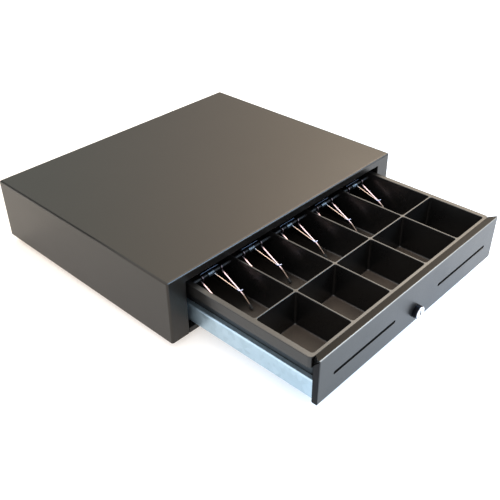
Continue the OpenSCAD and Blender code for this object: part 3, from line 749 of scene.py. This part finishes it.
PANEL_Y = -212.5
PAN_Y = -203.0
PAN_BACK = 142.0
PANEL_HALF = 203.5
PANEL_Z = 10.5
PANEL_TOP = 80.5
LEAN = 1.0
PANEL_BEND = 1.5
TOP_FLANGE = 12.0
TOP_DROP = 2.2
SLOT_X = 113.0
SLOT_Z = 42.6
SLOT_L = 126.0
SLOT_H = 4.8
LOCK_Z = 29.0


def plate(name, outline, x0, x1):
    """An outline in the Y-Z plane, thickened along X."""
    return loft([[(x, y, z) for y, z in outline] for x in (x0, x1)], name)


def panel_front(z):
    """Where the leaning face of the panel is at height z."""
    return PANEL_Y + LEAN * (PANEL_TOP - z) / (PANEL_TOP - PANEL_Z)


def make_front_panel():
    """Folded steel front: sloping top with cut corners, folded ends, lip at the pan."""
    low, r_out, r_in = PANEL_Y + LEAN, 1.8, 0.6
    z0, lip_top, bend = PANEL_Z, 30.5, PANEL_BEND
    back = PANEL_Y + TOP_FLANGE
    slope = math.degrees(math.atan2(TOP_DROP, TOP_FLANGE - bend))
    outline = [(back, PANEL_TOP - TOP_DROP - SHEET + 0.25), (back, PANEL_TOP - TOP_DROP - 0.25),
               (back - 0.25, PANEL_TOP - TOP_DROP)]
    outline += arc(PANEL_Y + bend, PANEL_TOP - bend, bend, 90 - slope, 180, 10)
    outline += arc(low + r_out, z0 + r_out, r_out, 180, 270, 6)
    outline += arc(PAN_Y - r_out, z0 + r_out, r_out, 270, 360, 6)
    outline += [(PAN_Y, lip_top), (PAN_Y - SHEET, lip_top)]
    outline += arc(PAN_Y - r_out, z0 + r_out, r_in, 360, 270, 4)
    outline += arc(low + r_out, z0 + r_out, r_in, 270, 180, 4)
    outline += arc(PANEL_Y + bend, PANEL_TOP - bend, bend - SHEET, 180, 90 - slope, 4)
    outline += [(back - 0.25, PANEL_TOP - TOP_DROP - SHEET)]
    panel = plate("front_panel_sheet", outline, -PANEL_HALF, PANEL_HALF)

    middle = PANEL_Y + SHEET / 2
    end = [(middle + LEAN, z0), (PAN_Y - 1.8, z0), (PAN_Y - 0.5, z0 + 0.5), (PAN_Y, z0 + 1.8),
           (PAN_Y, PANEL_TOP - 14.5), (PAN_Y - 0.6, PANEL_TOP - 12.3), (PAN_Y - 2.2, PANEL_TOP - 10.2),
           (middle, PANEL_TOP - 3)]
    joined = [plate("tool", end, *sorted((s * (PANEL_HALF - SHEET), s * PANEL_HALF)))
              for s in (-1, 1)]
    joined.append(lathe("tool", [(PANEL_Y + 1.3, 0), (PANEL_Y + 1.3, 12.5), (PAN_Y, 12.5),
                                 (PAN_Y, 0)], "y", (0, 0, LOCK_Z), 64))
    combine(panel, joined, "UNION")
    # the bends between the face and the ends
    envelope = [rounded_rectangle(-PANEL_HALF, PANEL_HALF, panel_front(z), PAN_Y + 20, 1.5, z, 6)
                for z in (PANEL_Z - 1, PANEL_TOP + 1)]
    combine(panel, [loft(envelope, "tool")], "INTERSECT")
    tools = []
    for s in (-1, 1):
        corner = [(s * (PANEL_HALF + 1), PANEL_Y + 2), (s * (PANEL_HALF + 1), PAN_Y + 4),
                  (s * (PANEL_HALF - 8), PAN_Y + 4)]
        tools.append(loft([[(x, y, z) for x, y in corner]
                           for z in (PANEL_TOP - 3.6, PANEL_TOP + 1.4)], "tool"))
    for s in (-1, 1):
        r = SLOT_H / 2
        slot = [(s * SLOT_X + x, z) for x, z in
                arc(SLOT_L / 2 - r, SLOT_Z, r, -90, 90, 8)
                + arc(-SLOT_L / 2 + r, SLOT_Z, r, 90, 270, 8)]
        tools.append(loft([[(x, y, z) for x, z in slot] for y in (PANEL_Y - 2, PAN_Y - 2.5)],
                          "tool"))
    tools.append(lathe("tool", [(0, 0), (0, 8.0), (20, 8.0), (20, 0)], "y",
                       (0, PANEL_Y - 3, LOCK_Z)))
    combine(panel, tools, "DIFFERENCE")
    return finish_piece(panel, "drawer", "black_paint", ["front_panel"], FRONT_PAINT_LIT, edge=0.25,
                        angle=50, ends=END_PAINT_SHADED, top=TOP_PAINT_SHADED)


def make_drawer_pan():
    """Open steel pan: low front and back walls, sides with lips turned inwards."""
    half, z0, z1, lip = 200.0, 13.5, 40.0, 6.4
    b = Build()
    ys = (PAN_Y, PAN_Y + 4, PAN_BACK - 4, PAN_BACK)
    section = [(-half + lip, z1), (-half, z1), (-half, z0), (half, z0), (half, z1), (half - lip, z1)]
    lines = [[(x, y, z) for x, z in section] for y in ys]
    along = {(i, j): 1.6 for i in range(3) for j in (1, 2, 3, 4)}
    b.strip(lines, along=along)
    pan = b.object("drawer_pan_sheet")
    fold(pan, 1.6, 5)
    thicken(pan, SHEET)
    settle(pan)
    walls = []
    inner = half - SHEET
    for y, top in ((PAN_Y, 38.5), (PAN_BACK - SHEET, z1 - SHEET)):
        walls.append(box_solid("wall", (-inner + 0.02, y + 0.01, z0 + SHEET - 0.05),
                               (inner - 0.02, y + SHEET - 0.01, top)))
    combine(pan, walls, "UNION")
    tools = [lathe("tool", [(0, 0), (0, 8.0), (8, 8.0), (8, 0)], "y", (0, PAN_Y - 3, LOCK_Z)),
             box_solid("tool", (-6, -189, z0 - 2), (15, -184, z0 + 4))]
    combine(pan, tools, "DIFFERENCE")
    return finish_piece(pan, "drawer", "zinc_steel", ["drawer_pan"], edge=0.2, angle=50)


def make_lock():
    """Chrome barrel with a dished face, and the plug with its keyway."""
    front = PANEL_Y - 7.0
    profile = [(25, 0), (25, 7.9), (7.5, 7.9), (7.5, 9.5), (1.4, 9.5)]
    profile += [(0.55, 9.25), (0.15, 8.8), (0.0, 8.2), (0.0, 7.3), (0.25, 6.85), (0.9, 6.3),
                (1.0, 6.1), (20, 6.1), (20, 0)]
    barrel = lathe("lock_barrel_turned", profile, "y", (0, front, LOCK_Z), 64)
    finish_piece(barrel, "drawer", "chrome", ["lock_barrel"], LOCK_METAL_LIT)
    plug_profile = [(31.5, 0), (31.5, 6.0), (1.0, 6.0), (0.6, 5.75), (0.45, 5.3), (0.4, 0)]
    plug = lathe("lock_plug_turned", plug_profile, "y", (0, front, LOCK_Z), 64)
    tools = [box_solid("tool", (-0.9, front - 1, LOCK_Z - 4), (0.9, front + 12, LOCK_Z + 4)),
             box_solid("tool", (-1.9, front - 1, LOCK_Z - 1.2), (1.0, front + 12, LOCK_Z + 0.8))]
    combine(plug, tools, "DIFFERENCE")
    finish_piece(plug, "lock_core", "chrome", ["lock_plug"], LOCK_METAL_LIT, edge=0.12, angle=50)


# ---------------------------------------------------------------- till

TILL_Y = -199.5
TILL_BACK = 82.5
RIM_HALF = 203.0
TILL_TOP = 76.0
TILL_FLOOR = 24.0
TILL_UNDER = 21.6
WALL = 2.4
CAVITY_HALF = 194.5
DRAFT = 5.6
DIVIDER_T = 2.6
PITCH = 80.0
COIN_FRONT = -194.5
CROSS_Y = -107.5
BILL_FRONT = -105.1
BILL_BACK = 77.5
SKIRT_H = 16.0
SKIRT_T = 1.6
RIM_T = 2.2


def pocket(x0, x1, y0, y1, low0, low1):
    """Cutter for a compartment: drafted sides, coved floor and a rounded lip at the top."""
    lip, cove, corner = 0.8, 3.0, 3.5
    draft_y = 0.5
    rings = []
    for i in range(6):                       # floor cove
        a = math.radians(90 * i / 5)
        inset = cove * (1 - math.sin(a))
        z = TILL_FLOOR + cove * (1 - math.cos(a))
        rings.append((z, inset, 1.0 - (z - TILL_FLOOR) / (TILL_TOP - TILL_FLOOR)))
    rings.append((TILL_TOP - lip, 0.0, lip / (TILL_TOP - TILL_FLOOR)))
    for i in range(1, 5):                    # lip flaring outwards
        a = math.radians(90 * i / 4)
        rings.append((TILL_TOP - lip + lip * math.sin(a), -lip * (1 - math.cos(a)), 0.0))
    rings.append((TILL_TOP + 2, -lip, 0.0))
    made = []
    for z, inset, share in rings:
        made.append(rounded_rectangle(x0 + low0 * share + inset, x1 - low1 * share - inset,
                                      y0 + draft_y * share + inset, y1 - draft_y * share - inset,
                                      max(0.6, corner - inset * 0.4), z, 5))
    return loft(made, "tool")


def make_till():
    """One moulding: rim with a skirt, tub, cross wall, four dividers, ten compartments."""
    edge = 1.1
    rings = []

    def ring(x, y0, y1, z, radius):
        rings.append(rounded_rectangle(-x, x, y0, y1, radius, z, 6))

    tub = CAVITY_HALF + WALL
    low_tub = tub - DRAFT
    cove = 3.0
    for i in range(5):                       # rounded bottom edge of the tub
        a = math.radians(90 * i / 4)
        inset = cove * (1 - math.sin(a))
        ring(low_tub - inset, COIN_FRONT - WALL + 0.5 + inset, BILL_BACK + WALL - 0.5 - inset,
             TILL_UNDER + cove * (1 - math.cos(a)), 5.0)
    under_rim = TILL_TOP - RIM_T
    ring(tub, COIN_FRONT - WALL, BILL_BACK + WALL, under_rim, 5.0)
    inner = RIM_HALF - SKIRT_T
    ring(inner, TILL_Y + SKIRT_T, TILL_BACK - SKIRT_T, under_rim, 4.4)
    ring(inner, TILL_Y + SKIRT_T, TILL_BACK - SKIRT_T, TILL_TOP - SKIRT_H + 0.3, 4.4)
    ring(inner + 0.3, TILL_Y + SKIRT_T - 0.3, TILL_BACK - SKIRT_T + 0.3, TILL_TOP - SKIRT_H, 4.7)
    ring(RIM_HALF - 0.3, TILL_Y + 0.3, TILL_BACK - 0.3, TILL_TOP - SKIRT_H, 5.7)
    ring(RIM_HALF, TILL_Y, TILL_BACK, TILL_TOP - SKIRT_H + 0.3, 6.0)
    for i in range(5):                       # rounded outer edge of the rim
        a = math.radians(90 * i / 4)
        inset = edge * (1 - math.cos(a))
        ring(RIM_HALF - inset, TILL_Y + inset, TILL_BACK - inset,
             TILL_TOP - edge + edge * math.sin(a), 6.0 - inset)
    blank = loft(rings, "till_moulding")

    walls = [-CAVITY_HALF] + [PITCH * (i - 1.5) for i in range(4)] + [CAVITY_HALF]
    tools = []
    for i in range(5):
        x0 = walls[i] + (0 if i == 0 else DIVIDER_T / 2)
        x1 = walls[i + 1] - (0 if i == 4 else DIVIDER_T / 2)
        low0, low1 = (DRAFT if i == 0 else 0.4), (DRAFT if i == 4 else 0.4)
        tools.append(pocket(x0, x1, COIN_FRONT, CROSS_Y, low0, low1))
        tools.append(pocket(x0, x1, BILL_FRONT, BILL_BACK, low0, low1))
    combine(blank, tools, "DIFFERENCE")

    # the cover over the lock's rear end, hollow below, and pads that stand on the pan
    added = [box_solid("tool", (-15, TILL_Y + 3.6, TILL_UNDER + 1.2), (27, -180.1, 40.9), 1.0)]
    for x in (-170, 0, 170):
        for y in (TILL_Y + 40, TILL_BACK - 40):
            added.append(lathe("tool", [(14.7, 0), (14.7, 5.6), (15.2, 6.0), (22.5, 6.0),
                                        (22.5, 0)], "z", (x, y, 0), 32))
    combine(blank, added, "UNION")
    combine(blank, [box_solid("tool", (-13, TILL_Y - 1, TILL_UNDER - 1), (25, -182.5, 38.5))],
            "DIFFERENCE")
    return finish_piece(blank, "drawer", "black_plastic", ["till"])


# ---------------------------------------------------------------- bill hold-downs

WIRE_R = 1.3
ARM_HALF = 18.5
KNEE = (-33.0, 42.0)
TOE = (-48.5, 27.5)
CENTRES = (-157.9, -80.0, 0.0, 80.0, 157.9)


def eye_loop(x, side):
    """Path of the wire from the arm's upper end, once round the rod and up behind it."""
    reach = ROD_R + 0.1 + WIRE_R
    return [(x - side * 2.4 * i / 26, ROD_Y + reach * math.cos(math.radians(-65 + 425 * i / 26)),
             ROD_Z + reach * math.sin(math.radians(-65 + 425 * i / 26))) for i in range(27)]


def arm_path(x, side):
    """Left or right half of a hold-down, from its toe to the middle of its back bar."""
    loop = eye_loop(x, side)
    straight = round_corners([(x, *TOE), (x, *KNEE), loop[0]], 4.0, 6)
    end_x, end_y, end_z = loop[-1]
    bar = round_corners([(end_x, end_y, end_z), (end_x - side * 0.4, end_y + 0.6, 70.6),
                         (end_x - side * 8, end_y + 0.8, 70.6)], 1.9, 5)
    return [Vector(p) for p in straight] + [Vector(p) for p in loop[1:]] + bar[1:]


def make_hold_down(number, centre):
    body = f"hold_down_{number}"
    left = arm_path(centre - ARM_HALF, -1)
    right = arm_path(centre + ARM_HALF, 1)
    b = Build()
    sweep(b, left + list(reversed(right)), WIRE_R, 12)
    wire = outward(b.object(f"hold_down_wire_{number}"))
    finish_piece(wire, body, "chrome", [f"hold_down_{number}"], WIRE)

    # torsion spring with one leg lying on the right arm
    b = Build()
    radius, turns, pitch, wire_r = 3.3, 5.25, 1.72, 0.75
    steps = int(turns * 20)
    path = []
    for i in range(steps + 1):
        a = math.radians(90 - 360 * turns + 360 * turns * i / steps)
        path.append((centre - 6.2 + pitch * turns * i / steps,
                     ROD_Y + radius * math.cos(a + math.pi / 2),
                     ROD_Z + radius * math.sin(a + math.pi / 2)))
    over = (centre + ARM_HALF - 2.5, KNEE[0] + 5, KNEE[1] + 4.6)
    tip = (centre + ARM_HALF + 2.0, KNEE[0] + 3, KNEE[1] + 5.2)
    leave = Vector(path[-1])
    path += round_corners([leave, leave + Vector((0.9, -1.2, -1.6)), over, tip], 2.2, 4)[1:]
    sweep(b, path, wire_r, 10)
    spring = outward(b.object(f"hold_down_coil_{number}"))
    finish_piece(spring, body, "bright_steel", [f"hold_down_spring_{number}"], SPRING)

    # soft caps pushed over the toes
    b = Build()
    dy, dz = TOE[0] - KNEE[0], TOE[1] - KNEE[1]
    length = math.hypot(dy, dz)
    dy, dz = dy / length, dz / length
    profile = [(-6.0, 1.15), (-6.0, 1.7), (-5.7, 2.0), (-5.2, 2.1), (0.0, 2.1), (0.7, 1.95),
               (1.3, 1.5), (1.65, 0.8), (1.75, 0.0)]
    for side in (-1, 1):
        rings = []
        for along, radius in profile:
            ring = []
            for k in range(20):
                a = 2 * math.pi * k / 20
                c, s = max(radius, 0.01) * math.cos(a), max(radius, 0.01) * math.sin(a)
                ring.append((centre + side * ARM_HALF + c, TOE[0] + dy * along - dz * s,
                             TOE[1] + dz * along + dy * s))
            rings.append(ring)
        b.strip(rings, closed=True, cap=True, cap_first=True)
    caps = outward(b.object(f"hold_down_tips_{number}"))
    finish_piece(caps, body, "rubber", [f"hold_down_caps_{number}"])


def small_coil(name, node, body, start, direction, length, turns):
    """A closely wound spring along X or Z."""
    b = Build()
    steps = turns * 20
    path = []
    for i in range(steps + 1):
        a = 2 * math.pi * turns * i / steps
        c, s, along = 3.1 * math.cos(a), 3.1 * math.sin(a), length * i / steps
        offset = (along, c, s) if direction == "x" else (c, s, along)
        path.append(tuple(start[k] + offset[k] for k in range(3)))
    sweep(b, path, 0.55, 10)
    return finish_piece(outward(b.object(name)), body, "bright_steel", [node])


# ---------------------------------------------------------------- making the pieces

make_casing_cover()
make_back_panel()
make_back_screws()
make_feet()
make_front_panel()
make_drawer_pan()
make_lock()
make_till()
for index, middle in enumerate(CENTRES):
    make_hold_down(index + 1, middle)
small_coil("latch_return_coil", "latch_spring", "casing", (6.3, 374, 39), "x", 7.2, 6)
small_coil("ejector_return_coil", "ejector_spring", "casing", (100, 376, 35.4), "z", 3.4, 3)

SPECIAL = {"solenoid_body": SOLENOID, "hinge_rod": ROD_PAINTED_SHADE}

# CAD nodes that stay: rounded edges, smooth shading and their slot's material
slot_of_node = {}
for part in frame["record"]["subparts"]:
    slot_of_node[part["node"]] = part.get("material_slot") or part.get("material")
for name, obj in frame["nodes"].items():
    if obj.hide_render:
        continue
    weld = obj.modifiers.new("weld", "WELD")
    weld.merge_threshold = 1e-5
    soften(obj, 0.3, 40.0, 2)
    for polygon in obj.data.polygons:
        polygon.use_smooth = True
    shading = obj.modifiers.new("shading", "WEIGHTED_NORMAL")
    shading.weight = 80
    material = SPECIAL.get(name) or MATERIALS[slot_of_node[name]]
    obj.data.materials.clear()
    obj.data.materials.append(material)

# ---------------------------------------------------------------- floor, light and camera

scene = bpy.context.scene
scene.view_settings.view_transform = "Standard"


def make_floor():
    """A pale floor that glows a little, so that it stays white where it is in shade."""
    z = cad_low.z - 0.0005
    b = Build()
    n, size = 24, 9000.0
    lines = []
    for i in range(n + 1):
        y = -size + 2 * size * i / n
        lines.append([(-size + 2 * size * j / n, y, z / MM) for j in range(n + 1)])
    b.strip(lines)
    floor = b.object("floor")
    g = Graph("pale_floor")
    tone = g.noise(3.0, 2.0)
    colour = g.ramp(tone, [(0.3, (0.49, 0.49, 0.49)), (0.7, (0.51, 0.51, 0.51))])
    across = g.add("ShaderNodeVectorMath", {0: g.coords}, {1: (0.6, -0.8, 0.0)},
                   operation="DOT_PRODUCT").outputs["Value"]
    across = g.remap(across, -0.5, 0.6, 0.0, 1.0)
    glow = g.ramp(across, [(0.10, (0.40, 0.32, 0.23)), (0.48, (0.48, 0.44, 0.40)),
                           (0.63, (0.36, 0.42, 0.48)), (0.80, (0.64, 0.72, 0.86)),
                           (1.0, (0.70, 0.75, 0.85))])
    material = g.finish(colour, g.remap(tone, 0.3, 0.7, 0.85, 0.95), Emission_Strength=1.2)
    g.tree.links.new(glow, g.shader.inputs["Emission Color"])
    floor.data.materials.append(material)


def area_light(name, position, target, size, power, colour, size_y=None):
    data = bpy.data.lights.new(name, "AREA")
    data.energy = power
    data.color = colour
    data.shape = "RECTANGLE"
    data.size = size
    data.size_y = size_y or size
    light = bpy.data.objects.new(name, data)
    light.location = position
    light.rotation_mode = "QUATERNION"
    light.rotation_quaternion = (Vector(target) - Vector(position)).to_track_quat("-Z", "Y")
    scene.collection.objects.link(light)
    return light


def make_world():
    """A studio sky: dark near the horizon, white above, warmer towards the right."""
    world = bpy.data.worlds.new("studio")
    world.use_nodes = True
    scene.world = world
    tree = world.node_tree
    coords = tree.nodes.new("ShaderNodeTexCoord")

    def toward(direction, stops, low=0.0, high=1.0):
        """A ramp over how closely a direction of the sky lies to the given one."""
        dot = tree.nodes.new("ShaderNodeVectorMath")
        dot.operation = "DOT_PRODUCT"
        dot.inputs[1].default_value = Vector(direction).normalized()
        span = tree.nodes.new("ShaderNodeMapRange")
        span.inputs["From Min"].default_value = low
        span.inputs["From Max"].default_value = high
        ramp = tree.nodes.new("ShaderNodeValToRGB")
        while len(ramp.color_ramp.elements) < len(stops):
            ramp.color_ramp.elements.new(0.5)
        for element, (position, colour) in zip(ramp.color_ramp.elements, stops):
            element.position = position
            element.color = (*colour, 1)
        tree.links.new(coords.outputs["Generated"], dot.inputs[0])
        tree.links.new(dot.outputs["Value"], span.inputs["Value"])
        tree.links.new(span.outputs["Result"], ramp.inputs["Fac"])
        return ramp.outputs["Color"]

    warmth = toward((0.93, 0.15, 0.33), [(0.0, (0.40, 0.40, 0.41)), (0.66, (0.41, 0.435, 0.40)),
                                         (0.80, (0.68, 0.60, 0.52)), (0.93, (1.3, 1.08, 0.84))])
    height = toward((-0.35, -0.30, 0.88), [(0.15, (0.10, 0.105, 0.11)), (0.24, (0.27, 0.275, 0.28)),
                                           (0.31, (0.47, 0.47, 0.47)), (0.40, (0.62, 0.62, 0.62)),
                                           (0.65, (1.0, 1.0, 1.0))], -0.3, 0.7)
    product = tree.nodes.new("ShaderNodeVectorMath")
    product.operation = "MULTIPLY"
    tree.links.new(warmth, product.inputs[0])
    tree.links.new(height, product.inputs[1])
    background = tree.nodes["Background"]
    background.inputs["Strength"].default_value = 5.6
    tree.links.new(product.outputs["Vector"], background.inputs["Color"])


def make_camera():
    """Seen from the front left and above, turned a little about the line of sight."""
    azimuth, elevation, roll = (math.radians(d) for d in (-46.137, 34.527, -0.881))
    back = Vector((math.sin(azimuth) * math.cos(elevation),
                   -math.cos(azimuth) * math.cos(elevation), math.sin(elevation)))
    ahead = -back
    right = ahead.cross(Vector((0, 0, 1))).normalized()
    up = right.cross(ahead)
    turned_right = right * math.cos(roll) + up * math.sin(roll)
    turned_up = -right * math.sin(roll) + up * math.cos(roll)
    data = bpy.data.cameras.new("camera")
    data.sensor_width = 36.0
    data.lens = 51.26
    data.clip_start, data.clip_end = 0.01, 50.0
    camera = bpy.data.objects.new("camera", data)
    camera.matrix_world = Matrix.Translation((-0.6692, -0.7507, 0.6254)) @ Matrix(
        (turned_right, turned_up, -ahead)).transposed().to_4x4()
    scene.collection.objects.link(camera)
    scene.camera = camera


make_floor()
make_world()
middle = (cad_low + cad_high) / 2
area_light("soft_key", (1.6, 0.3, 1.8), middle, 1.2, 18.0, (1.0, 0.95, 0.86))
area_light("cool_front", (1.21, -1.80, 1.29), (0.0, -0.41, 0.08), 1.1, 46.0, (0.42, 0.68, 1.0))
make_camera()
